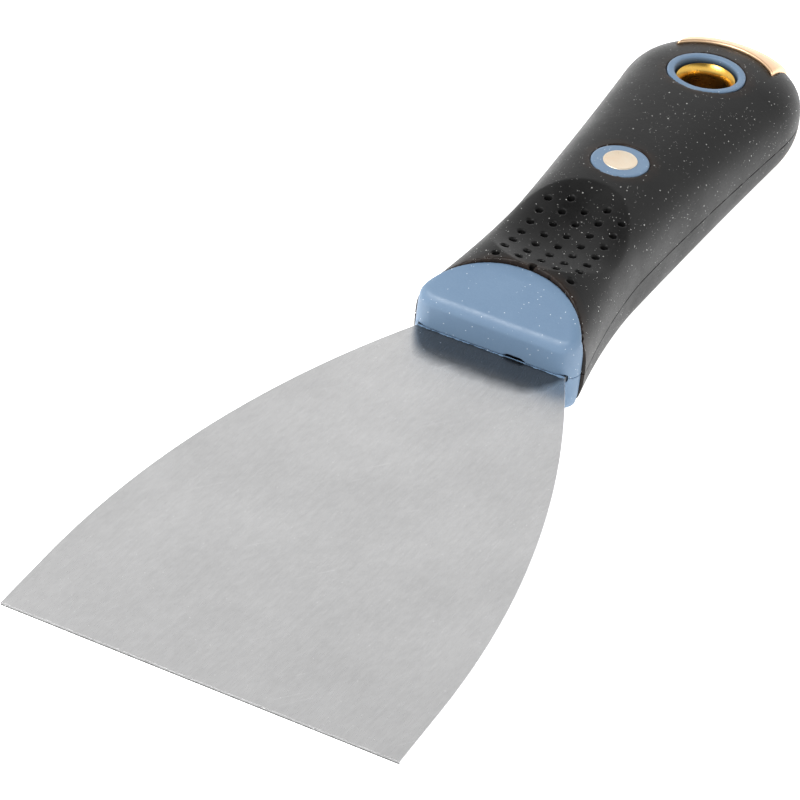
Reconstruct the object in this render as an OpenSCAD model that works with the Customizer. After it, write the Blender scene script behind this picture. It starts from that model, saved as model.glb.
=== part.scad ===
// Drywall taping knife: a flexible steel blade with a full tang, held between two
// moulded handle scales with soft grips, a rivet, a brass-lined hang hole and a hammer cap.
//
// Frame: the origin is the centre of the hang hole, midway through the handle. +Z runs along
// the hang hole, -Y points to the working edge of the blade and X runs across the blade.
// The handle is the same above and below the blade's mid plane, z = 0.

/* [Blade] */
// Width of the working edge
blade_w = 76.2; // [70:0.1:80]
// Distance from the hang hole to the working edge
blade_reach = 208.5; // [200:0.5:215]
// Length of the parallel sides behind the working edge
blade_parallel = 15; // [10:1:20]
// Radius of the two curved sides
blade_side_r = 218; // [210:1:240]
// Thickness at the working edge
edge_t = 0.6; // [0.4:0.05:0.9]
// Thickness at the handle, and of the tang
tang_t = 1.2; // [1:0.05:1.5]
// Width of the tang inside the handle
tang_w = 20; // [16:0.5:22]

/* [Handle outline] */
// Distance from the hang hole to the front face of the collar
collar_reach = 96.5; // [94:0.5:98]
// Width of the handle at the collar
collar_w = 36.8; // [34:0.2:38]
// Width of the handle at its waist
waist_w = 28; // [26:0.2:30]
// Distance from the hang hole to the waist
waist_reach = 60; // [56:1:64]
// Width of the handle beside the hang hole
butt_w = 38.4; // [34:0.2:40]
// Distance from the hang hole to the end of the handle
butt_reach = 22.6; // [19:0.2:23]
// Greatest thickness of the handle
handle_t = 26.8; // [25:0.2:28]
// Distance from the hang hole to the thickest place
belly_reach = 55; // [50:1:60]
// Loss of thickness from the belly to the collar
collar_loss = 4; // [3:0.2:5]
// Loss of thickness from the belly to the end
butt_loss = 7; // [5:0.2:8]
// Squareness of the cross section, 2 being an ellipse
section_power = 2.85; // [2.5:0.05:3.2]
// Squareness of the cross section beside the hang hole
butt_section_power = 2.6; // [2.4:0.05:3]
// Squareness of the rounded end seen from above
butt_power = 2.15; // [2:0.05:2.6]

/* [Collar] */
// Height of the sloping top face above the mid plane at the collar's front
slope_front_z = 6.9; // [6:0.1:8]
// Rise of the sloping top face for each unit along the handle
slope_rise = 0.38; // [0.3:0.01:0.45]
// Radius of the collar's round rear edge
collar_arc_r = 18.6; // [18:0.1:19.5]
// Distance from the hang hole to the centre of that edge
collar_arc_reach = 101.8; // [101:0.1:103]
// Radius of the collar's upright corners
corner_r = 4.8; // [3.7:0.1:5.2]
// Radius of the rounding along the collar's front edges
brow_r = 1.6; // [1:0.1:2]
// Squareness of the collar's cross section
collar_power = 3.4; // [2.85:0.05:3.6]
// How far the collar's sides lie inside the edge of the grip
collar_inset = 0.35; // [0.1:0.05:0.5]

/* [Grip] */
// Thickness of the soft grip over the back and the sides of the hard core
grip_t = 2.6; // [2.4:0.1:3]
// Depth of the thumb scoop
scoop_depth = 3.3; // [2:0.1:3.6]
// Half the width of the thumb scoop
scoop_half_w = 12.5; // [11:0.1:13]
// Distance from the hang hole to the deepest place of the scoop
scoop_reach = 70; // [68:0.5:72]
// Length of the scoop behind its deepest place
scoop_rear = 18.5; // [17:0.5:20]
// Length of the scoop in front of its deepest place
scoop_front = 13; // [11:0.5:14]
// Gap between the grip and the core, and along the handle's seam
skin_gap = 0.08; // [0.04:0.01:0.12]

/* [Rivet] */
// Distance from the hang hole to the rivet
rivet_reach = 42; // [40:0.5:44]
// Radius of the rivet heads
rivet_head_r = 3.35; // [3:0.05:3.6]
// Thickness of the rivet heads
rivet_head_t = 1.4; // [1:0.1:2]
// Outer radius of the hollow post
rivet_post_r = 2.5; // [2.2:0.1:2.8]
// Radius of the pin that is driven into the post
rivet_pin_r = 1.6; // [1.4:0.1:1.8]
// Outer radius of the plastic ring around the rivet
rivet_ring_r = 5.7; // [5.2:0.1:6.2]

/* [Hang hole] */
// Radius of the opening through the eyelet
hole_r = 4.75; // [4.4:0.05:4.9]
// Wall thickness of the eyelet
eyelet_wall = 0.45; // [0.35:0.05:0.5]
// Radius of the flare around each inner edge
flare_r = 2.4; // [1.6:0.1:2.6]
// Half the length that the eyelet would have if its flare were a full quarter round
eyelet_half = 10.1; // [9.6:0.1:10.3]
// Outer radius of the flare
flare_rim_r = 5.95; // [5.7:0.05:6.1]
// Outer radius of the plastic ring around the eyelet
hole_ring_r = 7.9; // [7.6:0.1:8.2]
// Radius of the recess that the flare lies in
recess_r = 6.4; // [6.3:0.05:6.6]

/* [Hammer cap] */
// Half the width of the cap
cap_half_w = 10.5; // [10:0.1:11.5]
// Distance from the hang hole to the cap's inner face
cap_inner = 14; // [13.6:0.1:14.4]
// Radius of the cap's inner face
cap_inner_r = 14; // [13.5:0.5:20]
// How far the cap stands proud of the grip
cap_proud = 0.8; // [0.2:0.05:0.9]

/* [Hidden] */
// Steps from the handle's side to its crown, round its end, and along its length.
CROWN_STEPS = 9;
BUTT_STEPS = 16;
ROW_PITCH = 3.6;
// Power laws of the change in width and thickness on each side of the waist and the belly.
WIDTH_POWER_FRONT = 1.75;
WIDTH_POWER_REAR = 1.35;
DEPTH_POWER_FRONT = 1.8;
DEPTH_POWER_REAR = 1.5;
// Reach, behind the hang hole, of the place where the butt's width is stated.
BUTT_W_AT = 10;
SCOOP_POWER = 1.15;
FIT = 0.1;
BIG = 120;
// Cutters reach this far past the mid plane.
SKIRT = 1;
// The core inside the grip has a wide lower step of this height, and a narrower upper step
// whose outline lies this far inside the handle's.
CORE_STEP_H = 5;
CORE_STEP_INSET = 6.5;
// The grip starts this far behind the collar's front face.
GRIP_SETBACK = 3.7;
GRIP_FRONT = GRIP_SETBACK - collar_reach;
// The rivet's faces stand this far above the crown of the handle, and the flat tops of
// the plastic rings lie this far below it.
PROUD = 0.1;
// The blade keeps its full neck width this far into the collar.
NECK_DEPTH = 6;
// The collar's section is the handle's section this far behind the front face.
COLLAR_SECTION = 3;

// The tang's narrow tip, and the T-shaped foot of the cap, which the core holds.
TIP_HALF_W = 4;
TIP_END = 16;
FOOT_Y = 9.6;
NECK_Y = 11.2;
FOOT_HALF_W = 7;
NECK_HALF_W = 5;
FOOT_HALF_H = 4.5;
NECK_HALF_H = 3;

$fn = 96;

// ---- handle surface -------------------------------------------------------------------

// Half width and half thickness of the handle at y.
function half_w(y) = waist_w / 2 + (y < -waist_reach
    ? (collar_w - waist_w) / 2
      * pow((-waist_reach - y) / (collar_reach - waist_reach), WIDTH_POWER_FRONT)
    : (butt_w - waist_w) / 2
      * pow((y + waist_reach) / (waist_reach + BUTT_W_AT), WIDTH_POWER_REAR));
function half_t(y) = handle_t / 2 - (y < -belly_reach
    ? collar_loss / 2
      * pow((-belly_reach - y) / (collar_reach - belly_reach), DEPTH_POWER_FRONT)
    : butt_loss / 2
      * pow((y + belly_reach) / (belly_reach + butt_reach), DEPTH_POWER_REAR));

// Squareness of the cross section at y.
function power_at(y) = section_power
    + (butt_section_power - section_power) * min(1, max(0, 1 + y / rivet_reach));

// Height of the cross section, from 0 to 1, at a share s of its half width.
function crown(s, power) = pow(max(0, 1 - pow(s, power)), 1 / power);

// Depth of the thumb scoop at (x, y).
function scoop_share(x, y) = pow(x / scoop_half_w, 2)
    + pow((y + scoop_reach) / (y > -scoop_reach ? scoop_rear : scoop_front), 2);
function scoop_at(x, y) = scoop_depth * pow(max(0, 1 - scoop_share(x, y)), SCOOP_POWER);

// A point of the upper surface: at a share s of the way out from the spine to the outline
// at y, or to the outline's point at angle a round the butt. The surface starts at the seam.
function surface_z(x, y, s) =
    max(skin_gap / 2, half_t(y) * crown(s, power_at(y)) - scoop_at(x, y));
function side_point(y, s, side) = let (x = side * half_w(y) * s) [x, y, surface_z(x, y, s)];
function butt_edge(a, inset = 0) =
    let (y = (butt_reach - inset) * pow(sin(a), 2 / butt_power),
         x = (half_w(y) - inset) * pow(abs(cos(a)), 2 / butt_power))
    [cos(a) < 0 ? -x : x, y];
function butt_point(a, s) = let (p = butt_edge(a) * s) [p.x, p.y, surface_z(p.x, p.y, s)];

// Shares of the half width, from the outline to the spine, closest together at the outline.
SHARES = [for (i = [0:CROWN_STEPS]) 1 - pow(i / CROWN_STEPS, 2)];

// One row across the handle at y, and one spoke from the butt's outline towards the spine.
function row(y) = concat(
    [for (s = SHARES) side_point(y, s, 1)],
    [for (i = [CROWN_STEPS - 1:-1:0]) side_point(y, SHARES[i], -1)]);
function spoke(a) = [for (i = [0:CROWN_STEPS - 1]) butt_point(a, SHARES[i])];

// Upper half of the handle as a closed solid that stands on the seam.
module half_body() {
    first = GRIP_FRONT + skin_gap;
    rows = ceil(-first / ROW_PITCH);
    across = 2 * CROWN_STEPS + 1;
    surface = concat(
        [for (j = [0:rows]) each row(first * (1 - j / rows))],
        [for (k = [1:BUTT_STEPS - 1]) each spoke(180 * k / BUTT_STEPS)]);
    pole = rows * across + CROWN_STEPS;
    spokes_from = (rows + 1) * across;
    // Index of point i of spoke k, counted in from the outline.
    function at(k, i) = i == CROWN_STEPS ? pole
        : k == 0 ? rows * across + i
        : k == BUTT_STEPS ? rows * across + across - 1 - i
        : spokes_from + (k - 1) * CROWN_STEPS + i;
    outline = concat([for (j = [0:rows]) j * across],
                     [for (k = [1:BUTT_STEPS - 1]) at(k, 0)],
                     [for (j = [rows:-1:0]) j * across + across - 1]);
    side_faces = [for (j = [0:rows - 1], i = [0:across - 2])
        let (p = j * across + i)
        each [[p, p + 1, p + across], [p + 1, p + across + 1, p + across]]];
    butt_faces = [for (k = [0:BUTT_STEPS - 1], i = [0:CROWN_STEPS - 1])
        each i == CROWN_STEPS - 1
            ? [[at(k, i), pole, at(k + 1, i)]]
            : [[at(k, i), at(k, i + 1), at(k + 1, i)],
               [at(k, i + 1), at(k + 1, i + 1), at(k + 1, i)]]];
    front_face = [for (i = [across - 1:-1:0]) i];
    polyhedron(points = surface,
               faces = concat(side_faces, butt_faces, [front_face], [outline]));
}

// ---- shared cutters ---------------------------------------------------------------------

module upright(reach, r) {
    translate([0, -reach, -SKIRT]) cylinder(r = r, h = BIG);
}

// Half width of the collar.
function collar_half_w() = half_w(COLLAR_SECTION - collar_reach) - collar_inset;

// The flat front of the collar with its round corners, seen from above.
module collar_front_plan() {
    half = collar_half_w();
    translate([-half, corner_r - collar_reach]) square([2 * half, BIG]);
    translate([corner_r - half, -collar_reach]) square([2 * (half - corner_r), BIG]);
    for (side = [-1, 1])
        translate([side * (half - corner_r), corner_r - collar_reach]) circle(r = corner_r);
}

// The collar seen from the side: the front face, the rounded brow and the sloping top.
module collar_profile() {
    slope_a = atan(slope_rise);
    brow_y = -collar_reach + brow_r;
    brow_z = slope_front_z + slope_rise * brow_r - brow_r / cos(slope_a);
    turn = 90 - slope_a;
    brow = [for (i = [0:8]) let (a = 180 - turn * i / 8)
            [brow_y + brow_r * cos(a), brow_z + brow_r * sin(a)]];
    rear_y = -collar_arc_reach + collar_arc_r + 1;
    rotate([90, 0, 90]) linear_extrude(BIG, center = true)
        polygon(concat([[rear_y, skin_gap / 2], [-collar_reach, skin_gap / 2]], brow,
                       [[rear_y, slope_z(rear_y)]]));
}

// Height of the collar's sloping top at y.
function slope_z(y) = slope_front_z + slope_rise * (y + collar_reach);

// The two steps of the core under the grip, widened by a gap. They start at front and
// stand on floor_z.
module core_steps(gap, front, floor_z) {
    translate([0, 0, floor_z])
        linear_extrude(CORE_STEP_H + gap - floor_z) handle_plan(grip_t - gap, front);
    intersection() {
        translate([0, 0, floor_z]) linear_extrude(BIG) handle_plan(CORE_STEP_INSET - gap, front);
        core_back(gap, front);
    }
}

// The handle seen from above, inset all round.
module handle_plan(inset, front) {
    rows = 16;
    side = [for (j = [0:rows]) let (y = front * (1 - j / rows)) [half_w(y) - inset, y]];
    butt = [for (k = [1:BUTT_STEPS - 1]) butt_edge(180 * k / BUTT_STEPS, inset)];
    polygon(concat(side, butt, [for (i = [rows:-1:0]) [-side[i].x, side[i].y]]));
}

// The upper step of the core seen from the side, following the scoop and the collar's slope.
module core_back(gap, front) {
    rows = 32;
    back = [for (j = [0:rows]) let (y = front + (butt_reach - front) * j / rows)
            [y, min(half_t(y) - scoop_at(0, y) - grip_t, slope_z(y) - 0.5) + gap]];
    rotate([90, 0, 90]) linear_extrude(BIG, center = true)
        polygon(concat([[butt_reach, -SKIRT], [front, -SKIRT]], back));
}

// A plastic ring whose flat top leans as the handle's back does there.
module ring(reach, r) {
    lean = atan((half_t(r - reach) - half_t(-r - reach)) / (2 * r));
    difference() {
        translate([0, -reach, skin_gap / 2]) cylinder(r = r, h = handle_t);
        translate([0, -reach, half_t(-reach) - PROUD]) rotate([lean, 0, 0])
            translate([-BIG, -BIG, 0]) cube([2 * BIG, 2 * BIG, BIG]);
    }
}

// The region that the hammer cap fills, widened by a gap.
module cap_region(gap) {
    half = cap_half_w + gap;
    difference() {
        translate([-half, 0, -BIG / 2]) cube([2 * half, BIG, BIG]);
        translate([0, cap_inner - cap_inner_r, -BIG]) cylinder(r = cap_inner_r - gap, h = 2 * BIG);
    }
}

// The cap's foot and neck inside the core.
module cap_foot(gap) {
    translate([-FOOT_HALF_W - gap, FOOT_Y - gap, -FOOT_HALF_H - gap])
        cube([2 * (FOOT_HALF_W + gap), NECK_Y - FOOT_Y + 2 * gap, 2 * (FOOT_HALF_H + gap)]);
    translate([-NECK_HALF_W - gap, FOOT_Y, -NECK_HALF_H - gap])
        cube([2 * (NECK_HALF_W + gap), cap_inner - FOOT_Y + 1, 2 * (NECK_HALF_H + gap)]);
}

// The tang and its narrow tip, widened by a gap.
module tang_bar(gap) {
    half_h = tang_t / 2 + gap;
    translate([-tang_w / 2 - gap, -collar_reach, -half_h])
        cube([tang_w + 2 * gap, collar_reach + FOOT_Y - 2 * FIT + gap, 2 * half_h]);
    translate([-TIP_HALF_W - gap, 0, -half_h])
        cube([2 * (TIP_HALF_W + gap), TIP_END + gap, 2 * half_h]);
}

// ---- blade --------------------------------------------------------------------------------

// Half width of the blade where it enters the collar.
function neck_half_w() = let (run = blade_reach - blade_parallel - collar_reach)
    blade_w / 2 - blade_side_r + sqrt(pow(blade_side_r, 2) - pow(run, 2));

module blade_plan() {
    run = blade_reach - blade_parallel - collar_reach;
    sweep = asin(run / blade_side_r);
    centre = blade_w / 2 - blade_side_r;
    side = [for (i = [0:24]) let (a = sweep * i / 24)
            [centre + blade_side_r * cos(a), blade_parallel - blade_reach + blade_side_r * sin(a)]];
    polygon(concat([[-blade_w / 2, -blade_reach], [blade_w / 2, -blade_reach]], side,
                   [for (i = [24:-1:0]) [-side[i].x, side[i].y]]));
}

// Thickness of the sheet: a wedge from the working edge to the collar.
module blade_taper() {
    rotate([90, 0, 90]) linear_extrude(blade_w + 2, center = true)
        polygon([[-blade_reach - 1, -edge_t / 2], [-collar_reach, -tang_t / 2], [TIP_END, -tang_t / 2],
                 [TIP_END, tang_t / 2], [-collar_reach, tang_t / 2], [-blade_reach - 1, edge_t / 2]]);
}

// The neck of the blade inside the collar, widened by a gap.
module blade_neck(gap) {
    half = neck_half_w() + gap;
    translate([-half, -collar_reach, -tang_t / 2 - gap])
        cube([2 * half, NECK_DEPTH + gap, tang_t + 2 * gap]);
}

module blade() {
    color([0.76, 0.76, 0.75]) difference() {
        union() {
            intersection() {
                linear_extrude(2 * tang_t, center = true) blade_plan();
                blade_taper();
            }
            blade_neck(0);
            tang_bar(0);
        }
        translate([0, 0, -BIG / 2]) cylinder(r = hole_r + eyelet_wall + FIT, h = BIG);
        translate([0, -rivet_reach, -BIG / 2]) cylinder(r = rivet_post_r + FIT, h = BIG);
    }
}

// ---- handle scales --------------------------------------------------------------------------

// The upper scale: a stepped core under the grip, the collar, and a ring each for the
// rivet and the eyelet.
module core_half() {
    difference() {
        union() {
            core_steps(0, corner_r - collar_reach, skin_gap / 2);
            collar();
            ring(rivet_reach, rivet_ring_r);
            ring(0, hole_ring_r);
        }
        tang_bar(FIT);
        blade_neck(FIT);
        cap_region(FIT);
        cap_foot(FIT);
        upright(0, hole_r + eyelet_wall + FIT);
        translate([0, 0, eyelet_half - flare_r - eyelet_wall]) cylinder(r = recess_r, h = BIG);
        upright(rivet_reach, rivet_post_r + FIT);
        translate([0, -rivet_reach, rivet_face_z() - rivet_head_t])
            cylinder(r = rivet_head_r + FIT / 2, h = BIG);
    }
}

// The collar: one cross section, cut to its outline seen from above and from the side.
module collar() {
    top = half_t(COLLAR_SECTION - collar_reach);
    right = [for (s = SHARES) [collar_half_w() * s, top * crown(s, collar_power)]];
    intersection() {
        linear_extrude(BIG) intersection() {
            union() {
                translate([0, -collar_arc_reach]) circle(r = collar_arc_r);
                translate([-BIG, GRIP_FRONT - BIG]) square([2 * BIG, BIG]);
            }
            collar_front_plan();
        }
        rotate([90, 0, 0]) linear_extrude(2 * collar_reach)
            polygon(concat(right, [for (i = [CROWN_STEPS - 1:-1:0]) [-right[i].x, right[i].y]]));
        collar_profile();
    }
}

module core_upper() {
    color([0.5, 0.63, 0.77]) core_half();
}

module core_lower() {
    color([0.5, 0.63, 0.77]) mirror([0, 0, 1]) core_half();
}

// ---- soft grips -------------------------------------------------------------------------------

module grip_half() {
    difference() {
        half_body();
        core_steps(skin_gap, -collar_reach, -SKIRT);
        upright(collar_arc_reach, collar_arc_r + skin_gap);
        upright(rivet_reach, rivet_ring_r + skin_gap);
        upright(0, hole_ring_r + skin_gap);
        cap_region(FIT);
    }
}

module grip_upper() {
    color([0.13, 0.13, 0.13]) grip_half();
}

module grip_lower() {
    color([0.13, 0.13, 0.13]) mirror([0, 0, 1]) grip_half();
}

// ---- rivet --------------------------------------------------------------------------------------

// Height of the rivet's flat faces.
function rivet_face_z() = half_t(-rivet_reach) + PROUD;

// The hollow post goes in from above.
module rivet_post() {
    top = rivet_face_z();
    color([0.95, 0.78, 0.62]) translate([0, -rivet_reach, 0]) difference() {
        union() {
            translate([0, 0, top - rivet_head_t]) cylinder(r = rivet_head_r, h = rivet_head_t);
            translate([0, 0, FIT - top + rivet_head_t])
                cylinder(r = rivet_post_r, h = 2 * (top - rivet_head_t));
        }
        translate([0, 0, -top]) cylinder(r = rivet_pin_r, h = 2 * top - rivet_head_t - 1);
    }
}

// The solid pin is driven into the post from below.
module rivet_pin() {
    top = rivet_face_z();
    color([0.95, 0.78, 0.62]) translate([0, -rivet_reach, -top]) {
        cylinder(r = rivet_head_r, h = rivet_head_t);
        cylinder(r = rivet_pin_r - 0.02, h = 2 * (top - rivet_head_t) - 1);
    }
}

// ---- eyelet -------------------------------------------------------------------------------------

// Half the wall of the eyelet: straight, then flared outwards by a quarter round.
module eyelet_wall_half() {
    bend_z = eyelet_half - flare_r - eyelet_wall;
    bend_r = hole_r + eyelet_wall + flare_r;
    translate([hole_r, -0.01]) square([eyelet_wall, bend_z + 0.01]);
    intersection() {
        translate([bend_r, bend_z]) difference() {
            circle(r = flare_r + eyelet_wall);
            circle(r = flare_r);
        }
        translate([hole_r, bend_z]) square([flare_rim_r - hole_r, BIG]);
    }
}

module eyelet() {
    color([0.85, 0.62, 0.2]) rotate_extrude() {
        eyelet_wall_half();
        mirror([0, 1]) eyelet_wall_half();
    }
}

// ---- hammer cap -----------------------------------------------------------------------------------

module hammer_cap() {
    color([0.95, 0.75, 0.6]) difference() {
        union() {
            for (side = [0, 1]) mirror([0, 0, side]) intersection() {
                scale([1, 1 + cap_proud / butt_reach, 1 + cap_proud / half_t(cap_inner)])
                    half_body();
                cap_region(0);
            }
            cap_foot(0);
        }
        tang_bar(FIT);
    }
}

blade();
core_upper();
core_lower();
grip_upper();
grip_lower();
rivet_post();
rivet_pin();
eyelet();
hammer_cap();
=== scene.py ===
"""The looks of the taping knife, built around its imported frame.

Shapes are worked out in millimetres, in the frame's axes: the hang hole's centre is the
origin, +Z runs along the hole and -Y points to the working edge. Every mesh is scaled to
metres when it is made.
"""

import math

import bmesh
import bpy
import numpy as np
from mathutils import Matrix, Vector


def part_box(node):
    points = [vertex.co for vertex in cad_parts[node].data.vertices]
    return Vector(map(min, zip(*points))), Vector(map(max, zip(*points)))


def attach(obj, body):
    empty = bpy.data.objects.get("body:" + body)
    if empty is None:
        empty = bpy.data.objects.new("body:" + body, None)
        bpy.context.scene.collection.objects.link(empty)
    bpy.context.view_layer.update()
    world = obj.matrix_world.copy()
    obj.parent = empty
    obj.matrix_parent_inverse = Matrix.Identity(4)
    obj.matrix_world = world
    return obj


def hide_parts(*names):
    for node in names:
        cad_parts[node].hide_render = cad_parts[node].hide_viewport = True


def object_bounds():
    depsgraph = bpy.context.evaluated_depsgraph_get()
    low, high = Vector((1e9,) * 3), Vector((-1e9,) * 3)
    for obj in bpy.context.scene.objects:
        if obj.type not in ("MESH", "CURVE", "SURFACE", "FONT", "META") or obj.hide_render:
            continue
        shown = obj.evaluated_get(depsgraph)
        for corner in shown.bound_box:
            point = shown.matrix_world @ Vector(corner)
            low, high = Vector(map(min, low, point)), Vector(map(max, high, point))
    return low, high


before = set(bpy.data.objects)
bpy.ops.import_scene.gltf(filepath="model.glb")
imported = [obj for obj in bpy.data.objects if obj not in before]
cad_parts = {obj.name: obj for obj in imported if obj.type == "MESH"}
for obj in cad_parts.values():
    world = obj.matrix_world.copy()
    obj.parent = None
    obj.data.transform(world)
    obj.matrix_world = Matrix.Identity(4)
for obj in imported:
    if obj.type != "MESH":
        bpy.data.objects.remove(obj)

MM = 0.001
CAD_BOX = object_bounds()


def box_mm(node):
    low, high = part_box(node)
    return np.array(low) / MM, np.array(high) / MM


# ---- sizes --------------------------------------------------------------------------------

CORE_LOW, _ = box_mm("core_upper")
GRIP_LOW, _ = box_mm("grip_upper")
POST_LOW, POST_HIGH = box_mm("rivet_post")
_, EYELET_HIGH = box_mm("eyelet")
_, CAP_HIGH = box_mm("hammer_cap")
BLADE_LOW, _ = box_mm("blade")

# The handle's width and thickness along its length.
COLLAR_Y = CORE_LOW[1]
CAP_PROUD = 0.8
BUTT_Y = CAP_HIGH[1] - CAP_PROUD
GRIP_Y = GRIP_LOW[1]
SEAM_Z = 0.02
WAIST_Y, WAIST_W = -60.0, 28.0
COLLAR_W, BUTT_W, BUTT_W_Y = 36.8, 38.4, 10.0
WIDTH_POWER_FRONT, WIDTH_POWER_REAR = 1.75, 1.35
BELLY_Y, BELLY_T = -55.0, 26.75
COLLAR_LOSS, BUTT_LOSS = 4.0, 7.0
DEPTH_POWER_FRONT, DEPTH_POWER_REAR = 1.8, 1.5
SECTION_POWER, BUTT_SECTION_POWER, BUTT_POWER = 2.85, 2.6, 2.15
GRIP_T = 2.6
SKIN_GAP = 0.08

# The thumb scoop and its dimples: five columns, every other one half a pitch forward.
SCOOP_Y, SCOOP_DEPTH, SCOOP_HALF_W = -70.0, 3.3, 12.5
SCOOP_REAR, SCOOP_FRONT, SCOOP_POWER = 18.5, 13.0, 1.15
DIMPLE_R, DIMPLE_DEPTH = 0.78, 1.3
DIMPLE_PITCH_X, DIMPLE_PITCH_Y = 3.86, 3.82
DIMPLE_MIDDLE_X, DIMPLE_FIRST_Y = 0.8, -82.4

# The collar.
ARC_Y, ARC_R = -101.8, 18.6
SLOPE_Z, SLOPE_RISE = 6.9, 0.38
CORNER_R, BROW_R = 4.8, 1.6
COLLAR_POWER, COLLAR_INSET, COLLAR_SECTION = 3.4, 0.35, 3.0

# The rivet, the hang hole and the hammer cap.
RIVET_Y = (POST_LOW[1] + POST_HIGH[1]) / 2
RIVET_TOP = POST_HIGH[2]
HEAD_R, HEAD_T, POST_R, PIN_R = POST_HIGH[0], 1.4, 2.5, 1.6
RIVET_RING_R, HOLE_RING_R, RECESS_R = 5.7, 7.9, 6.4
HOLE_R, EYELET_WALL, FLARE_R = 4.75, 0.45, 2.4
FLARE_RIM = EYELET_HIGH[0]
BEND_R = HOLE_R + EYELET_WALL + FLARE_R
BEND_Z = EYELET_HIGH[2] - math.sqrt((BEND_R - HOLE_R) ** 2 - (BEND_R - FLARE_RIM) ** 2)
CAP_HALF_W, CAP_INNER_Y, CAP_INNER_R = CAP_HIGH[0], 14.0, 14.0
FIT = 0.1

# The blade's tang, and the cap's neck and foot, out of sight between the cores. A block is
# its middle's y and its half sizes along x, y and z.
TANG_HALF_W, TANG_HALF_T, TANG_END_Y, NECK_END_Y = 10, 0.6, 9.5, COLLAR_Y + 6
CAP_NECK, CAP_FOOT = (12, 5, 2.4, 3), (10.4, 7, 0.8, 4.5)
TIP_SLOT_HALF_W, TIP_SLOT_HALF_T, TIP_SLOT_END_Y = 4.1, 0.7, 16.1

# A small place above the blade where the collar's moulding is short of material.
GAP_X, GAP_HALF_W, GAP_HEIGHT, GAP_DEPTH = 4.9, 2.2, 0.65, 4

# Fields are in mm only near their surface. These turn a share of the section into mm.
HULL_SCALE, COLLAR_SCALE = 12, 14


# ---- handle surface -------------------------------------------------------------------------

def half_w(y):
    front = np.maximum(WAIST_Y - y, 0) / (WAIST_Y - COLLAR_Y)
    rear = np.maximum(y - WAIST_Y, 0) / (BUTT_W_Y - WAIST_Y)
    return (WAIST_W + (COLLAR_W - WAIST_W) * front ** WIDTH_POWER_FRONT
            + (BUTT_W - WAIST_W) * rear ** WIDTH_POWER_REAR) / 2


def half_t(y):
    front = np.maximum(BELLY_Y - y, 0) / (BELLY_Y - COLLAR_Y)
    rear = np.maximum(y - BELLY_Y, 0) / (BUTT_Y - BELLY_Y)
    return (BELLY_T - COLLAR_LOSS * front ** DEPTH_POWER_FRONT
            - BUTT_LOSS * rear ** DEPTH_POWER_REAR) / 2


def section_power(y):
    return SECTION_POWER + (BUTT_SECTION_POWER - SECTION_POWER) * np.clip(1 - y / RIVET_Y, 0, 1)


def outline_share(x, y):
    """How far out (x, y) is, from 0 at the spine to 1 at the outline seen from above."""
    rear = np.maximum(y, 0)
    share = np.maximum(np.abs(x) / half_w(y), rear / BUTT_Y)
    for _ in range(4):
        edge_y = np.where(y > 0, np.clip(y / np.maximum(share, 0.05), 0, BUTT_Y), y)
        width = np.abs(x) / half_w(edge_y)
        share = (width ** BUTT_POWER + (rear / BUTT_Y) ** BUTT_POWER) ** (1 / BUTT_POWER)
    return share


def scoop(x, y):
    run = np.where(y > SCOOP_Y, SCOOP_REAR, SCOOP_FRONT)
    share = (x / SCOOP_HALF_W) ** 2 + ((y - SCOOP_Y) / run) ** 2
    return SCOOP_DEPTH * np.maximum(0, 1 - share) ** SCOOP_POWER


def dimple_places():
    places = []
    for column in range(-2, 3):
        rows = 8 if column % 2 else 7
        first = DIMPLE_FIRST_Y - (DIMPLE_PITCH_Y / 2 if column % 2 else 0)
        x = DIMPLE_MIDDLE_X + column * DIMPLE_PITCH_X
        places += [(x, first + row * DIMPLE_PITCH_Y) for row in range(rows)]
    return places


def dimples(x, y):
    nearest = 1e9
    for place_x, place_y in dimple_places():
        nearest = np.minimum(nearest, (x - place_x) ** 2 + (y - place_y) ** 2)
    return DIMPLE_DEPTH * np.clip(1.8 * (1 - nearest / DIMPLE_R ** 2), 0, 1) ** 0.6


def hull(x, y, z, inset=0.0, lowered=0.0):
    """Negative inside the handle's upper half, inset all round and lowered by a depth."""
    share = outline_share(x, y)
    power = section_power(y)
    width = share / (1 - inset / half_w(np.minimum(y, 0)))
    height = np.maximum(z + lowered, 0) / (half_t(y) - inset)
    return HULL_SCALE * ((width ** power + height ** power) ** (1 / power) - 1)


def disc(x, y, centre_y):
    return np.sqrt(x ** 2 + (y - centre_y) ** 2)


def ring_top(y, centre_y, radius, drop=0.1):
    lean = (half_t(centre_y + radius) - half_t(centre_y - radius)) / (2 * radius)
    return half_t(centre_y) - drop + lean * (y - centre_y)


def round_max(a, b, radius):
    """The common part of two fields, its edge rounded."""
    inner = np.minimum(np.maximum(a, b), -radius)
    return inner + np.hypot(np.maximum(a + radius, 0), np.maximum(b + radius, 0))


# ---- fields of the moulded parts -------------------------------------------------------------

def cap_cut(x, y, gap):
    """Negative where the cap is, widened by a gap."""
    arc = CAP_INNER_R - gap - disc(x, y, CAP_INNER_Y - CAP_INNER_R)
    return np.maximum(np.maximum(np.abs(x) - CAP_HALF_W - gap, arc), -y)


def block(x, y, z, middle_y, half_x, half_y, half_z):
    sides = np.maximum(np.abs(x) - half_x, np.abs(z) - half_z)
    return np.maximum(sides, np.abs(y - middle_y) - half_y)


def seam_share(y):
    """How open the grips' parting line is: most beside the collar, hardly at the butt."""
    return np.clip(-0.7 - y / 40, 0.15, 1)


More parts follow.
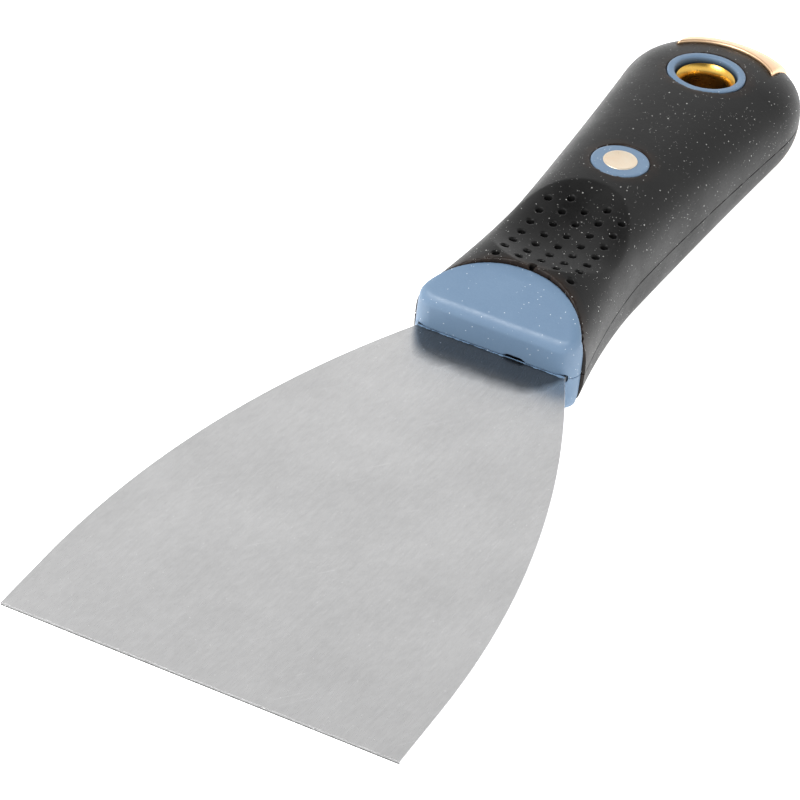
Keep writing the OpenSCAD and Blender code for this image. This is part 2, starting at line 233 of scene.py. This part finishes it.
def grip_field(x, y, z):
    surface = hull(x, y, z, lowered=scoop(x, y) + dimples(x, y))
    cavity = hull(x, y, z, inset=GRIP_T, lowered=scoop(x, y))
    solid = np.maximum(surface, -cavity)
    solid = np.maximum(solid, np.maximum(SEAM_Z * seam_share(y) - z, GRIP_Y - y))
    solid = np.maximum(solid, ARC_R + SKIN_GAP - disc(x, y, ARC_Y))
    solid = np.maximum(solid, RIVET_RING_R + SKIN_GAP - disc(x, y, RIVET_Y))
    solid = np.maximum(solid, HOLE_RING_R + SKIN_GAP - disc(x, y, 0))
    return np.maximum(solid, -cap_cut(x, y, FIT))


def collar_field(x, y, z):
    half = half_w(COLLAR_Y + COLLAR_SECTION) - COLLAR_INSET
    tall = half_t(COLLAR_Y + COLLAR_SECTION)
    across = np.abs(x) - half + CORNER_R
    along = COLLAR_Y + CORNER_R - y
    plan = (np.hypot(np.maximum(across, 0), np.maximum(along, 0))
            + np.minimum(np.maximum(across, along), 0) - CORNER_R)
    slope = (z - SLOPE_Z - SLOPE_RISE * (y - COLLAR_Y)) / math.hypot(1, SLOPE_RISE)
    share = (np.abs(x) / half) ** COLLAR_POWER + (np.maximum(z, 0) / tall) ** COLLAR_POWER
    section = COLLAR_SCALE * (share ** (1 / COLLAR_POWER) - 1)
    rear = np.minimum(disc(x, y, ARC_Y) - ARC_R, y - GRIP_Y)
    solid = round_max(round_max(plan, slope, BROW_R), section, 1.1)
    return round_max(solid, rear, 0.3)


def slot_cut(x, y, z):
    """Negative in the slot for the blade and its tang, with the small gap above the blade."""
    near_gap = np.clip(1.3 - np.abs((x - GAP_X) / GAP_HALF_W) ** 2, 0, 1)
    gap = GAP_HEIGHT * near_gap * np.clip(COLLAR_Y + GAP_DEPTH - y, 0, 1)
    neck = np.maximum(np.abs(x) - BLADE_NECK - FIT, y - NECK_END_Y)
    tang = np.maximum(np.abs(x) - TANG_HALF_W - FIT, y - TANG_END_Y)
    return np.maximum(np.minimum(neck, tang), z - TANG_HALF_T - FIT - gap)


def core_field(x, y, z):
    body = hull(x, y, z, inset=GRIP_T + SKIN_GAP, lowered=scoop(x, y))
    under_slope = z - SLOPE_Z - SLOPE_RISE * (y - COLLAR_Y) + 0.5
    body = np.maximum(np.maximum(body, under_slope), NECK_END_Y - y)
    body = np.maximum(body, -cap_cut(x, y, FIT))
    rivet_r, hole_r = disc(x, y, RIVET_Y), disc(x, y, 0)
    rivet_ring = round_max(rivet_r - RIVET_RING_R, z - ring_top(y, RIVET_Y, RIVET_RING_R), 0.25)
    hole_ring = round_max(hole_r - HOLE_RING_R, z - ring_top(y, 0, HOLE_RING_R), 0.3)
    hole_ring = np.where(z > BEND_Z, round_max(hole_ring, RECESS_R - hole_r, 0.45), hole_ring)
    solid = np.minimum(np.minimum(body, collar_field(x, y, z)), np.minimum(rivet_ring, hole_ring))
    solid = np.maximum(solid, SEAM_Z - z)
    solid = np.maximum(solid, -slot_cut(x, y, z))
    solid = np.maximum(solid, HOLE_R + EYELET_WALL + FIT - hole_r)
    solid = np.maximum(solid, np.minimum(RECESS_R - hole_r, BEND_Z - z))
    solid = np.maximum(solid, POST_R + FIT - rivet_r)
    head_floor = RIVET_TOP - HEAD_T
    return np.maximum(solid, np.minimum(HEAD_R + FIT / 2 - rivet_r, head_floor - z))


def cap_field(x, y, z):
    high = np.abs(z) / (1 + CAP_PROUD / half_t(CAP_INNER_Y))
    shell = hull(x, y * BUTT_Y / (BUTT_Y + CAP_PROUD), high)
    shell = round_max(shell, cap_cut(x, y, 0), 0.55)
    neck, foot = block(x, y, z, *CAP_NECK), block(x, y, z, *CAP_FOOT)
    tip = np.maximum(np.abs(x) - TIP_SLOT_HALF_W, np.abs(z) - TIP_SLOT_HALF_T)
    tip = np.maximum(tip, y - TIP_SLOT_END_Y)
    return np.maximum(np.minimum(np.minimum(shell, neck), foot), -tip)


# ---- meshes -----------------------------------------------------------------------------------

def steps(start, *runs):
    """Grid positions from start; each run is where it ends and the pitch up to there."""
    points = [start]
    for end, pitch in runs:
        count = max(1, round((end - points[-1]) / pitch))
        points += list(np.linspace(points[-1], end, count + 1)[1:])
    return np.array(points)


def project(field, points, reach):
    """Moves points onto the surface where the field is zero, by at most the reach."""
    for _ in range(2):
        value = field(*points.T)
        slope = np.empty_like(points)
        for axis in range(3):
            ahead = points.copy()
            ahead[:, axis] += 0.01
            slope[:, axis] = (field(*ahead.T) - value) / 0.01
        steep = np.maximum((slope ** 2).sum(1), 0.05)
        move = -slope * (value / steep)[:, None]
        length = np.maximum(np.linalg.norm(move, axis=1), 1e-9)
        points = points + move * np.minimum(1, reach / length)[:, None]
    return points


def surface_net(field, axes, reach=0.1):
    """Vertices and quads of the closed surface where the field is zero."""
    grid = [axes[0][:, None, None], axes[1][None, :, None], axes[2][None, None, :]]
    values = np.broadcast_to(field(*grid), tuple(len(a) for a in axes))
    cells = tuple(n - 1 for n in values.shape)
    total = np.zeros((3, int(np.prod(cells))))
    count = np.zeros(int(np.prod(cells)))
    quads = []
    for axis in range(3):
        low = np.take(values, range(cells[axis]), axis)
        high = np.take(values, range(1, cells[axis] + 1), axis)
        at = np.argwhere((low < 0) != (high < 0))
        first, last = low[tuple(at.T)], high[tuple(at.T)]
        share = first / (first - last)
        point = np.stack([axes[k][at[:, k]] for k in range(3)])
        ahead = axes[axis][at[:, axis] + 1]
        point[axis] += share * (ahead - point[axis])
        second, third = (axis + 1) % 3, (axis + 2) % 3
        corners = []
        for step_2, step_3 in ((0, 0), (1, 0), (1, 1), (0, 1)):
            cell = at.copy()
            cell[:, second] -= step_2
            cell[:, third] -= step_3
            corners.append(np.ravel_multi_index(cell.T, cells))
        for corner in corners:
            count += np.bincount(corner, minlength=count.size)
            for k in range(3):
                total[k] += np.bincount(corner, point[k], count.size)
        ring = np.stack(corners, 1)
        ring[first < 0] = ring[first < 0][:, ::-1]
        quads.append(ring)
    used = np.flatnonzero(count)
    number = np.zeros(count.size, int)
    number[used] = np.arange(used.size)
    points = (total[:, used] / count[used]).T
    return project(field, points, reach), number[np.concatenate(quads)][:, ::-1]


def make_mesh(name, points, faces):
    mesh = bpy.data.meshes.new(name)
    mesh.from_pydata((np.asarray(points) * MM).tolist(), [], [list(map(int, f)) for f in faces])
    mesh.validate()
    mesh.update()
    piece = bpy.data.objects.new(name, mesh)
    bpy.context.scene.collection.objects.link(piece)
    mesh.shade_smooth()
    return piece


def mirrored(piece, name):
    """A copy of a piece on the other side of the mid plane."""
    mesh = piece.data.copy()
    mesh.name = name
    mesh.transform(Matrix.Scale(-1, 4, (0, 0, 1)))
    mesh.flip_normals()
    copy = bpy.data.objects.new(name, mesh)
    bpy.context.scene.collection.objects.link(copy)
    return copy


def lathe(name, profile, centre_y=0.0, segments=128, crease=35):
    """Turns a closed profile of (radius, height) points about a line parallel to Z."""
    points, rings = [], []
    for radius, height in profile:
        if radius < 1e-6:
            rings.append([len(points)] * segments)
            points.append((0, centre_y, height))
            continue
        rings.append(list(range(len(points), len(points) + segments)))
        for k in range(segments):
            angle = 2 * math.pi * k / segments
            points.append((radius * math.cos(angle), centre_y + radius * math.sin(angle), height))
    faces = []
    closed = profile[0][0] > 1e-6
    for i in range(len(rings) if closed else len(rings) - 1):
        low, high = rings[i], rings[(i + 1) % len(rings)]
        for k in range(segments):
            corners = [low[k], low[(k + 1) % segments], high[(k + 1) % segments], high[k]]
            faces.append(list(dict.fromkeys(corners)))
    piece = make_mesh(name, points, faces)
    tidy_normals(piece, crease)
    return piece


def tidy_normals(piece, crease):
    mesh = bmesh.new()
    mesh.from_mesh(piece.data)
    bmesh.ops.recalc_face_normals(mesh, faces=mesh.faces)
    mesh.to_mesh(piece.data)
    mesh.free()
    piece.data.set_sharp_from_angle(angle=math.radians(crease))


def arc(centre_r, centre_z, radius, start, end, count):
    angles = [math.radians(start + (end - start) * i / count) for i in range(count + 1)]
    return [(centre_r + radius * math.cos(a), centre_z + radius * math.sin(a)) for a in angles]


# ---- pieces -------------------------------------------------------------------------------------

def blade_neck():
    """Half width of the blade where it enters the collar, read from its frame mesh."""
    points = np.array([v.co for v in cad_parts["blade"].data.vertices]) / MM
    near = points[np.abs(points[:, 1] - COLLAR_Y) < 0.05]
    return near[:, 0].max()


BLADE_NECK = blade_neck()


def build_grip():
    across = steps(-21.5, (-9.5, 0.6), (9.5, 0.27), (21.5, 0.6))
    along = steps(-93.6, (-54, 0.29), (23.3, 0.5))
    up = steps(-0.25, (0.35, 0.12), (14.1, 0.45))
    return make_mesh("grip_upper_skin", *surface_net(grip_field, (across, along, up)))


def build_core():
    across = steps(-18.9, (18.9, 0.3))
    along = steps(-97.2, (-82, 0.25), (-49, 0.8), (-35.5, 0.25), (-9, 0.8), (9, 0.25), (22.6, 0.7))
    up = steps(-0.25, (0.35, 0.12), (14.2, 0.27))
    return make_mesh("core_upper_moulding", *surface_net(core_field, (across, along, up)))


def build_cap():
    across = steps(-11.1, (11.1, 0.22))
    along = steps(8.4, (23.9, 0.2))
    up = steps(-11.9, (11.9, 0.24))
    return make_mesh("hammer_cap_shell", *surface_net(cap_field, (across, along, up)))


def build_blade():
    """The frame's blade with its sharp edges eased."""
    mesh = bmesh.new()
    mesh.from_mesh(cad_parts["blade"].data)
    bmesh.ops.remove_doubles(mesh, verts=mesh.verts, dist=1e-7)
    bmesh.ops.dissolve_limit(mesh, angle_limit=math.radians(0.3),
                             verts=mesh.verts, edges=mesh.edges)
    data = bpy.data.meshes.new("blade_sheet")
    mesh.to_mesh(data)
    mesh.free()
    piece = bpy.data.objects.new("blade_sheet", data)
    bpy.context.scene.collection.objects.link(piece)
    data.shade_smooth()
    data.set_sharp_from_angle(angle=math.radians(30))
    bevel = piece.modifiers.new("eased_edges", "BEVEL")
    bevel.width = 0.07 * MM
    bevel.segments = 2
    bevel.limit_method = "ANGLE"
    bevel.angle_limit = math.radians(40)
    bevel.harden_normals = True
    return piece


def build_rivets():
    """The two halves, each with a slightly dished head; the pin runs up inside the post."""
    ease, bore_top, pin_end = 0.16, 1.0, 1.05
    face = arc(HEAD_R - ease, RIVET_TOP - ease, ease, 90, 0, 5)
    dish = [(0, RIVET_TOP - 0.07), (1.2, RIVET_TOP - 0.066), (2.3, RIVET_TOP - 0.045),
            (2.8, RIVET_TOP - 0.015), (3.0, RIVET_TOP)]
    neck_z = RIVET_TOP - HEAD_T
    post = dish + face + [(HEAD_R, neck_z), (POST_R, neck_z), (POST_R, FIT - neck_z),
                          (PIN_R, FIT - neck_z), (PIN_R, neck_z - bore_top), (0, neck_z - bore_top)]
    pin_r = PIN_R - 0.02
    pin = dish + face + [(HEAD_R, neck_z), (pin_r, neck_z), (pin_r, pin_end - neck_z),
                         (0, pin_end - neck_z)]
    pin = [(radius, -height) for radius, height in pin]
    return (lathe("rivet_post_head", post, RIVET_Y), lathe("rivet_pin_head", pin, RIVET_Y))


def build_eyelet():
    run = BEND_R - FLARE_RIM + 0.03
    rim_in = math.degrees(math.acos(run / (FLARE_R + EYELET_WALL)))
    rim_out = math.degrees(math.acos(run / FLARE_R))
    inner = arc(BEND_R, BEND_Z, FLARE_R + EYELET_WALL, 180, 180 - rim_in, 16)
    outer = arc(BEND_R, BEND_Z, FLARE_R, 180 - rim_out, 180, 14)
    middle = (inner[-1][1] + outer[0][1]) / 2
    half = [(HOLE_R, 0)] + inner + [(FLARE_RIM, middle)] + outer
    lower = [(radius, -height) for radius, height in half[1:]][::-1]
    profile = half + [(HOLE_R + EYELET_WALL, 0)] + lower
    return lathe("eyelet_tube", profile, crease=50)


def build_flash():
    """The ragged skin of plastic that the mould left along the collar, on top of the blade."""
    rng = np.random.default_rng(11)
    count = 260
    xs = np.linspace(-BLADE_NECK + 0.1, BLADE_NECK - 0.1, count)
    reach = np.zeros(count)
    for pitch, size in ((30, 0.2), (9, 0.26), (2, 0.22)):
        knots = rng.uniform(0, size, count // pitch + 2)
        reach += np.interp(np.arange(count) / pitch, np.arange(knots.size), knots)
    bare = np.clip(np.abs(xs - GAP_X) - GAP_HALF_W + 0.3, 0, 0.4) / 0.4
    reach = bare * np.maximum(reach - 0.16, 0.01)
    top = TANG_HALF_T
    points, faces = [], []
    for x, far, thick in zip(xs, reach, 0.02 + 0.35 * reach):
        for y, z in ((0.3, top), (0.3, top + thick), (0, top + thick * 0.8),
                     (-far, top + 0.03 + 0.25 * thick), (-far, top)):
            points.append((x, COLLAR_Y + y, z))
    for i in range(count - 1):
        for k in range(5):
            a, b = i * 5 + k, i * 5 + (k + 1) % 5
            faces.append((a, b, b + 5, a + 5))
    faces += [tuple(range(5)), tuple(range(count * 5 - 1, count * 5 - 6, -1))]
    piece = make_mesh("collar_flash", points, faces)
    tidy_normals(piece, 30)
    return piece


# ---- materials ------------------------------------------------------------------------------------

class Look:
    """One procedural material. Its textures are laid out in millimetres of the frame."""

    def __init__(self, name, **constants):
        self.material = bpy.data.materials.new(name)
        self.material.use_nodes = True
        self.tree = self.material.node_tree
        self.shader = self.tree.nodes["Principled BSDF"]
        for socket, value in constants.items():
            self.shader.inputs[socket.replace("_", " ")].default_value = value
        self.place = self.tree.nodes.new("ShaderNodeTexCoord").outputs["Object"]

    def put(self, source, target):
        if isinstance(source, bpy.types.NodeSocket):
            self.tree.links.new(source, target)
        else:
            target.default_value = source

    def node(self, kind, inputs, output=0, **settings):
        node = self.tree.nodes.new("ShaderNode" + kind)
        for key, value in settings.items():
            setattr(node, key, value)
        for key, value in inputs.items():
            self.put(value, node.inputs[key])
        return node.outputs[output]

    def set(self, **sources):
        for socket, source in sources.items():
            self.put(source, self.shader.inputs[socket.replace("_", " ")])

    def coords(self, scale, turn=0.0):
        """Frame coordinates in mm, scaled along each axis after a turn about Z."""
        scale = [s / MM for s in (scale if isinstance(scale, tuple) else (scale,) * 3)]
        turned = self.node("VectorRotate", {"Vector": self.place, "Angle": math.radians(turn)},
                           rotation_type="Z_AXIS")
        return self.node("Mapping", {"Vector": turned, "Scale": scale})

    def axes(self):
        """The x, y and z of a point in mm."""
        return self.node("SeparateXYZ", {0: self.coords(1.0)}).node.outputs

    def noise(self, scale, detail=3.0, roughness=0.55, turn=0.0):
        return self.node("TexNoise", {"Vector": self.coords(scale, turn), "Scale": 1.0,
                                      "Detail": detail, "Roughness": roughness})

    def ramp(self, value, low, high, out_low=0.0, out_high=1.0):
        return self.node("MapRange", {"Value": value, "From Min": low, "From Max": high,
                                      "To Min": out_low, "To Max": out_high})

    def math(self, operation, a, b=0.0):
        return self.node("Math", {0: a, 1: b}, operation=operation)

    def wrap(self, value, half):
        """The value brought into the range from -half to half, over and over."""
        return self.node("Math", {0: value, 1: half, 2: -half}, operation="WRAP")

    def length(self, a, b):
        square = self.math("ADD", self.math("MULTIPLY", a, a), self.math("MULTIPLY", b, b))
        return self.math("SQRT", square)

    def blend(self, share, a, b):
        return self.node("Mix", {"Factor": share, 6: a, 7: b}, output=2, data_type="RGBA")

    def specks(self, scale, size, density, patch=0.05):
        """Small bright specks of several sizes, at the points of a Voronoi pattern, in drifts."""
        cell = self.node("TexVoronoi", {"Vector": self.coords(scale), "Scale": 1.0}).node
        chances = self.node("SeparateColor", {0: cell.outputs["Color"]}).node
        drift = self.ramp(self.noise(patch, 3, 0.6), 0.35, 0.65, 0.25 * density, 1.75 * density)
        radius = self.ramp(chances.outputs[1], 0, 1, 0.35 * size, size)
        near = self.math("LESS_THAN", cell.outputs["Distance"], radius)
        return self.math("MULTIPLY", near, self.math("LESS_THAN", chances.outputs[0], drift))

    def bump(self, *layers):
        """Bump from (height, depth in mm) layers, the finest last."""
        normal = None
        for height, depth in layers:
            inputs = {"Height": height, "Distance": depth * MM, "Strength": 1.0}
            if normal is not None:
                inputs["Normal"] = normal
            normal = self.node("Bump", inputs)
        self.set(Normal=normal)


# How far the painted reflection of the collar reaches in front of it, and its half width, in mm.
REFLECTION_REACH, REFLECTION_HALF_W = 9.3, 15.6


def steel():
    look = Look("blade_steel", Metallic=1.0)
    grain = look.noise((6, 0.12, 1), 4, 0.6, turn=3)
    fine = look.noise((16, 0.5, 1), 3, 0.6, turn=-4)
    cloud = look.noise(0.05, 4, 0.6)
    mottle = look.noise((1.3, 0.5, 1), 4, 0.65, turn=12)
    tone = look.math("ADD", look.ramp(grain, 0.3, 0.7, -0.024, 0.024),
                     look.ramp(mottle, 0.3, 0.7, -0.03, 0.03))
    tone = look.math("ADD", tone, look.ramp(cloud, 0.3, 0.7, 0.595, 0.665))
    scratch = look.ramp(look.noise((7, 0.05, 1), 1, 0.4, turn=38), 0.735, 0.76)
    sparse = look.ramp(look.noise(0.11, 1), 0.55, 0.62)
    tone = look.math("ADD", tone, look.math("MULTIPLY", look.math("MULTIPLY", scratch, sparse), 0.16))
    # Painted reflection of the collar: the steel's colour is darkened down to 0.3 in a band in front
    # of it.
    tone = look.math("MULTIPLY", tone, look.ramp(painted_collar_reflection(look), 0, 1, 1.0, 0.3))
    tone = look.math("MULTIPLY", tone, edge_share(look))
    warm = look.node("CombineColor", {0: tone, 1: tone, 2: look.math("MULTIPLY", tone, 1.003)})
    dust = look.specks(1.1, 0.13, 0.35)
    look.set(Base_Color=look.blend(dust, warm, (0.85, 0.85, 0.85, 1)),
             Roughness=look.ramp(fine, 0.25, 0.75, 0.25, 0.36))
    look.bump((mottle, 0.003), (grain, 0.002), (fine, 0.001))
    return look.material


def edge_share(look):
    """How bright the steel is: less on the working edge's face, least where it was sheared."""
    _, y, z = look.axes()
    inside = look.ramp(y, float(BLADE_LOW[1]) + 0.03, float(BLADE_LOW[1]) + 0.06)
    ragged = look.ramp(look.noise((2, 1, 1), 3), 0.3, 0.7, -0.08, 0.08)
    face = look.ramp(look.math("ADD", z, ragged), -0.08, 0.02, 0.1, 0.42)
    return look.math("MAXIMUM", inside, face)


def painted_collar_reflection(look):
    """A painted reflection of the collar: a dark band on the steel in front of it."""
    x, y, _ = look.axes()
    ahead = look.math("DIVIDE", look.math("SUBTRACT", float(COLLAR_Y), y), REFLECTION_REACH)
    aside = look.math("ABSOLUTE", look.math("DIVIDE", x, REFLECTION_HALF_W))
    wander = look.ramp(look.noise(0.25, 3), 0.3, 0.7, -0.05, 0.05)
    far = look.math("ADD", look.math("ADD", ahead, look.math("POWER", aside, 6.0)), wander)
    return look.ramp(far, 1.12, 0.72)


def plastic():
    look = Look("core_plastic", Specular_IOR_Level=0.5)
    cloud = look.noise(0.09, 3)
    grit = look.noise(2.6, 3, 0.6)
    colour = look.blend(look.ramp(cloud, 0.3, 0.7), (0.134, 0.216, 0.33, 1), (0.156, 0.243, 0.36, 1))
    colour = look.blend(look.ramp(grit, 0.35, 0.75, 0.0, 0.18), colour, (0.2, 0.3, 0.42, 1))
    dust = look.specks(1.4, 0.14, 0.45)
    colour = look.blend(dust, colour, (0.72, 0.78, 0.84, 1))
    # Painted shade: the plastic is darkened nearly to black at the bottom of the recess round the
    # eyelet.
    look.set(Base_Color=look.blend(painted_recess_shade(look), colour, (0.02, 0.03, 0.04, 1)),
             Roughness=look.ramp(look.noise(1.2, 3), 0.3, 0.7, 0.38, 0.52))
    look.bump((look.noise(0.16, 2), 0.05), (look.noise(0.7, 3), 0.024), (grit, 0.014))
    return look.material


def painted_recess_shade(look):
    """Painted shade in the recess round the eyelet's rim, strongest at its bottom."""
    x, y, z = look.axes()
    within = look.math("LESS_THAN", look.length(x, y), RECESS_R + 0.15)
    rim = float(EYELET_HIGH[2])
    painted_depth_shade = look.ramp(look.math("ABSOLUTE", z), rim - 0.1, rim + 0.8, 0.9, 0.0)
    return look.math("MULTIPLY", within, painted_depth_shade)


def rubber():
    look = Look("grip_rubber", Specular_IOR_Level=0.2, Sheen_Weight=0.02, Sheen_Roughness=0.4)
    haze = look.ramp(look.noise(0.07, 4, 0.6), 0.3, 0.7)
    grit = look.noise(3.2, 3, 0.65)
    colour = look.blend(haze, (0.001, 0.001, 0.001, 1), (0.011, 0.011, 0.011, 1))
    colour = look.blend(look.ramp(grit, 0.4, 0.8, 0, 0.5), colour, (0.016, 0.016, 0.016, 1))
    colour = look.blend(rim_tint(look), colour, (0.045, 0.024, 0.014, 1))
    dust = look.math("MAXIMUM", look.specks(1.05, 0.13, 0.48, 0.06),
                     look.specks(2.6, 0.15, 0.26, 0.1))
    lint = look.ramp(look.noise((2.5, 0.6, 1), 2, 0.5, turn=35), 0.815, 0.83)
    dust = look.math("MAXIMUM", look.math("MULTIPLY", dust, 0.95), look.math("MULTIPLY", lint, 0.3))
    dimple_shade = painted_dimple_shade(look)
    colour = look.blend(dust, colour, (0.72, 0.72, 0.7, 1))
    dull = look.math("ADD", look.ramp(grit, 0.3, 0.7, -0.07, 0.07), look.ramp(haze, 0, 1, 0.34, 0.5))
    # Painted shade: inside the dimples the rubber is black and its roughness is one.
    look.set(Base_Color=look.blend(dimple_shade, colour, (0.001, 0.001, 0.001, 1)),
             Roughness=look.math("MAXIMUM", dimple_shade, dull))
    look.bump((look.noise(0.25, 2), 0.03), (look.noise(1.3, 3), 0.018), (grit, 0.014))
    return look.material


def painted_dimple_shade(look):
    """One inside the dimples, where painted shade turns the rubber black and fully rough."""
    x, y, _ = look.axes()
    off_x = look.math("SUBTRACT", x, DIMPLE_MIDDLE_X)
    share = 0.0
    for step_x, step_y, columns, rows in ((0, 0, 3, 7), (1, -0.5, 2, 8)):
        off_y = look.math("SUBTRACT", y, DIMPLE_FIRST_Y + step_y * DIMPLE_PITCH_Y)
        run = look.math("SUBTRACT", off_y, (rows - 1) / 2 * DIMPLE_PITCH_Y)
        near_x = look.math("SUBTRACT", off_x, step_x * DIMPLE_PITCH_X)
        near_x = look.wrap(near_x, DIMPLE_PITCH_X)
        near_y = look.wrap(off_y, DIMPLE_PITCH_Y / 2)
        hole = look.ramp(look.length(near_x, near_y), DIMPLE_R - 0.14, DIMPLE_R + 0.04, 1.0, 0.0)
        for off, half in ((off_x, columns * DIMPLE_PITCH_X), (run, rows / 2 * DIMPLE_PITCH_Y)):
            among = look.math("LESS_THAN", look.math("ABSOLUTE", off), half)
            hole = look.math("MULTIPLY", hole, among)
        share = look.math("MAXIMUM", share, hole)
    return share


def rim_tint(look):
    """Strongest on the rubber beside the collar and the two plastic rings."""
    x, y, _ = look.axes()
    share = 0.0
    for centre_y, radius in ((ARC_Y, ARC_R), (RIVET_Y, RIVET_RING_R), (0.0, HOLE_RING_R)):
        off_y = look.math("SUBTRACT", y, float(centre_y))
        far = look.math("SUBTRACT", look.length(x, off_y), radius)
        share = look.math("MAXIMUM", share, look.ramp(far, 0.0, 2.6, 0.5, 0.0))
    return look.math("MULTIPLY", share, look.ramp(look.noise(0.3, 3), 0.35, 0.65, 0.25, 1.0))


def copper(name, turn, dull, bright):
    look = Look(name, Metallic=1.0)
    cloud = look.noise(0.25, 4, 0.6)
    line = look.noise((0.3, 5, 5), 3, 0.6, turn=turn)
    colour = look.blend(look.ramp(cloud, 0.3, 0.7), dull, bright)
    scratch = look.ramp(look.noise((0.4, 9, 9), 2, 0.5, turn=turn + 24), 0.68, 0.74)
    colour = look.blend(look.math("MULTIPLY", scratch, 0.4), colour, (0.62, 0.42, 0.28, 1))
    look.set(Base_Color=colour, Roughness=look.ramp(line, 0.3, 0.7, 0.34, 0.5))
    look.bump((cloud, 0.02), (line, 0.006))
    return look.material


def brass():
    look = Look("eyelet_brass", Metallic=1.0)
    cloud = look.noise(0.35, 4, 0.6)
    turned = look.noise((0.5, 0.5, 5), 3, 0.5)
    colour = look.blend(look.ramp(cloud, 0.3, 0.7), (0.8, 0.47, 0.09, 1), (0.88, 0.56, 0.13, 1))
    # Painted shade inside the eyelet's tube: the brass is darker towards the tube's middle height.
    height = look.math("ABSOLUTE", look.axes()[2])
    painted_depth_shade = look.ramp(height, float(BEND_Z) - 4.5, float(BEND_Z) + 1.2, 1.0, 0.0)
    colour = look.blend(painted_depth_shade, colour, (0.1, 0.035, 0.004, 1))
    look.set(Base_Color=colour, Roughness=look.ramp(turned, 0.3, 0.7, 0.26, 0.34))
    look.bump((cloud, 0.012), (turned, 0.001))
    return look.material


def white_floor():
    look = Look("studio_floor", Roughness=0.9)
    cloud = look.ramp(look.noise(0.01, 2), 0.3, 0.7)
    pale = look.blend(cloud, (0.9, 0.9, 0.9, 1), (0.93, 0.93, 0.93, 1))
    look.set(Base_Color=pale, Emission_Color=(1, 1, 1, 1), Emission_Strength=1.0)
    return look.material


# ---- the scene --------------------------------------------------------------------------------------

def dress(piece, material, slot, *nodes):
    piece.data.materials.clear()
    piece.data.materials.append(material)
    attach(piece, "root")
    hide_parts(*nodes)


def build_knife():
    black, blue = rubber(), plastic()
    grip, core = build_grip(), build_core()
    dress(grip, black, "grip_rubber", "grip_upper")
    dress(mirrored(grip, "grip_lower_skin"), black, "grip_rubber", "grip_lower")
    dress(core, blue, "core_plastic", "core_upper")
    dress(mirrored(core, "core_lower_moulding"), blue, "core_plastic", "core_lower")
    dress(build_flash(), blue, "core_plastic", "core_upper")
    dress(build_blade(), steel(), "blade_steel", "blade")
    post, pin = build_rivets()
    rivet = copper("rivet_metal", 30, (0.99, 0.81, 0.61, 1), (1.0, 0.88, 0.71, 1))
    dress(post, rivet, "rivet_metal", "rivet_post")
    dress(pin, rivet, "rivet_metal", "rivet_pin")
    dress(build_eyelet(), brass(), "eyelet_brass", "eyelet")
    dress(build_cap(), copper("cap_metal", 0, (0.9, 0.6, 0.36, 1), (0.97, 0.7, 0.46, 1)),
          "cap_metal", "hammer_cap")


def build_floor():
    half = 1.5
    low = CAD_BOX[0][2]
    mesh = bpy.data.meshes.new("studio_floor")
    mesh.from_pydata([(-half, -half, low), (half, -half, low), (half, half, low), (-half, half, low)],
                     [], [(0, 1, 2, 3)])
    floor = bpy.data.objects.new("studio_floor", mesh)
    bpy.context.scene.collection.objects.link(floor)
    mesh.materials.append(white_floor())


AIM = Vector((0, -108.6, 0))
CAMERA_AZ, CAMERA_EL, CAMERA_ROLL = (math.radians(a) for a in (23.34, 36.15, 6.10))
CAMERA_ASIDE, CAMERA_DOWN, CAMERA_BACK = 11.18, 2.53, 828.8


def add_camera():
    """A long lens that looks down on the knife from beyond its working edge."""
    az, el, roll = CAMERA_AZ, CAMERA_EL, CAMERA_ROLL
    back = Vector((math.sin(az) * math.cos(el), -math.cos(az) * math.cos(el), math.sin(el)))
    level = Vector((math.cos(az), math.sin(az), 0))
    upright = back.cross(level)
    right = level * math.cos(roll) + upright * math.sin(roll)
    up = upright * math.cos(roll) - level * math.sin(roll)
    place = (AIM - right * CAMERA_ASIDE - up * CAMERA_DOWN + back * CAMERA_BACK) * MM
    camera = bpy.data.objects.new("camera", bpy.data.cameras.new("camera"))
    bpy.context.scene.collection.objects.link(camera)
    camera.matrix_world = Matrix((right, up, back)).transposed().to_4x4()
    camera.matrix_world.translation = place
    camera.data.sensor_width = 36
    camera.data.lens = 203.6
    camera.data.clip_start = 0.01
    bpy.context.scene.camera = camera


def add_key_light():
    """A square soft box above the collar's front, facing the handle."""
    target, way, distance = Vector((0, -0.09, 0)), Vector((-0.32, -0.36, 0.88)).normalized(), 0.8
    lamp = bpy.data.objects.new("key", bpy.data.lights.new("key", "AREA"))
    lamp.data.energy = 5.0
    lamp.data.size = 0.3
    lamp.location = target + way * distance
    lamp.rotation_euler = (-way).to_track_quat("-Z", "Y").to_euler()
    bpy.context.scene.collection.objects.link(lamp)


# The sky is bright up to one height of its unit sphere, and dark from the next up.
SKY_BRIGHT_TO, SKY_DARK_FROM, SKY_BRIGHT, SKY_DARK = 0.6, 0.86, 1.05, 0.06


def add_sky():
    world = bpy.data.worlds.new("studio")
    world.use_nodes = True
    tree = world.node_tree
    way = tree.nodes.new("ShaderNodeTexCoord")
    axes = tree.nodes.new("ShaderNodeSeparateXYZ")
    fall = tree.nodes.new("ShaderNodeMapRange")
    fall.interpolation_type = "SMOOTHSTEP"
    for socket, value in (("From Min", SKY_BRIGHT_TO), ("From Max", SKY_DARK_FROM),
                          ("To Min", SKY_BRIGHT), ("To Max", SKY_DARK)):
        fall.inputs[socket].default_value = value
    tree.links.new(way.outputs["Generated"], axes.inputs[0])
    tree.links.new(axes.outputs["Z"], fall.inputs["Value"])
    tree.links.new(fall.outputs[0], tree.nodes["Background"].inputs["Strength"])
    tree.nodes["Background"].inputs["Color"].default_value = (1, 1, 1, 1)
    bpy.context.scene.world = world


build_knife()
build_floor()
add_camera()
add_sky()
add_key_light()
bpy.context.scene.view_settings.view_transform = "Standard"

bpy.context.view_layer.update()
